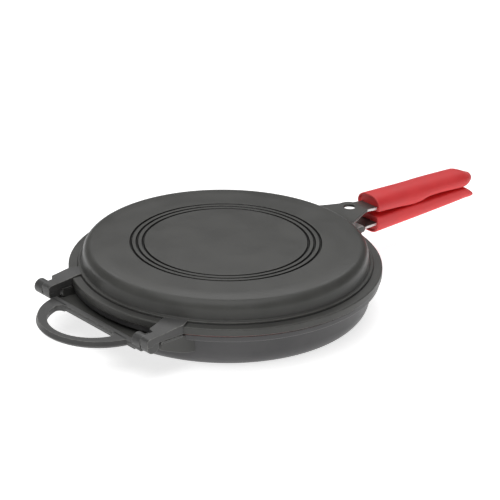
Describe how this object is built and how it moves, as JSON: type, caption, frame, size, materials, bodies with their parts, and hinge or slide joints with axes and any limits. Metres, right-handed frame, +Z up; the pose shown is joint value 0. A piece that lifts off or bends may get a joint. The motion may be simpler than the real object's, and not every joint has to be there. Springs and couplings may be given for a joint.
{
  "type": "double sided flip pan",
  "caption": "Two shallow round cast pans hinged rim to rim, with a seal in the seam, a helper loop at the hinge and two sleeved handles, for cooking food and turning it over inside.",
  "frame": {"origin": "centre of the lower pan's flat resting face, on the table plane", "axes": "+Z up out of the resting face, +X along the handles away from the hinge, +Y completes a right-handed frame"},
  "size_m": [0.4967, 0.278, 0.0617],
  "materials": {
    "pan_coating": "satin dark grey non-stick coating on die-cast aluminium",
    "silicone_red": "matte red silicone",
    "gasket_red": "soft matte red silicone",
    "pin_steel": "turned stainless steel",
    "magnet": "nickel-plated magnet"
  },
  "bodies": {
    "lower_half": {"lower_pan": "pan_coating", "near_hinge_pin": "pin_steel", "far_hinge_pin": "pin_steel", "lower_sleeve": "silicone_red", "lower_magnet": "magnet"},
    "upper_half": {"upper_pan": "pan_coating", "rim_gasket": "gasket_red", "upper_sleeve": "silicone_red", "upper_magnet": "magnet"}
  },
  "joints": [
    {"name": "pan_hinge", "type": "hinge", "parent": "lower_half", "child": "upper_half", "pos_m": [-0.146, 0, 0.0334], "axis": [0, -1, 0], "range_deg": [0, 135]}
  ]
}
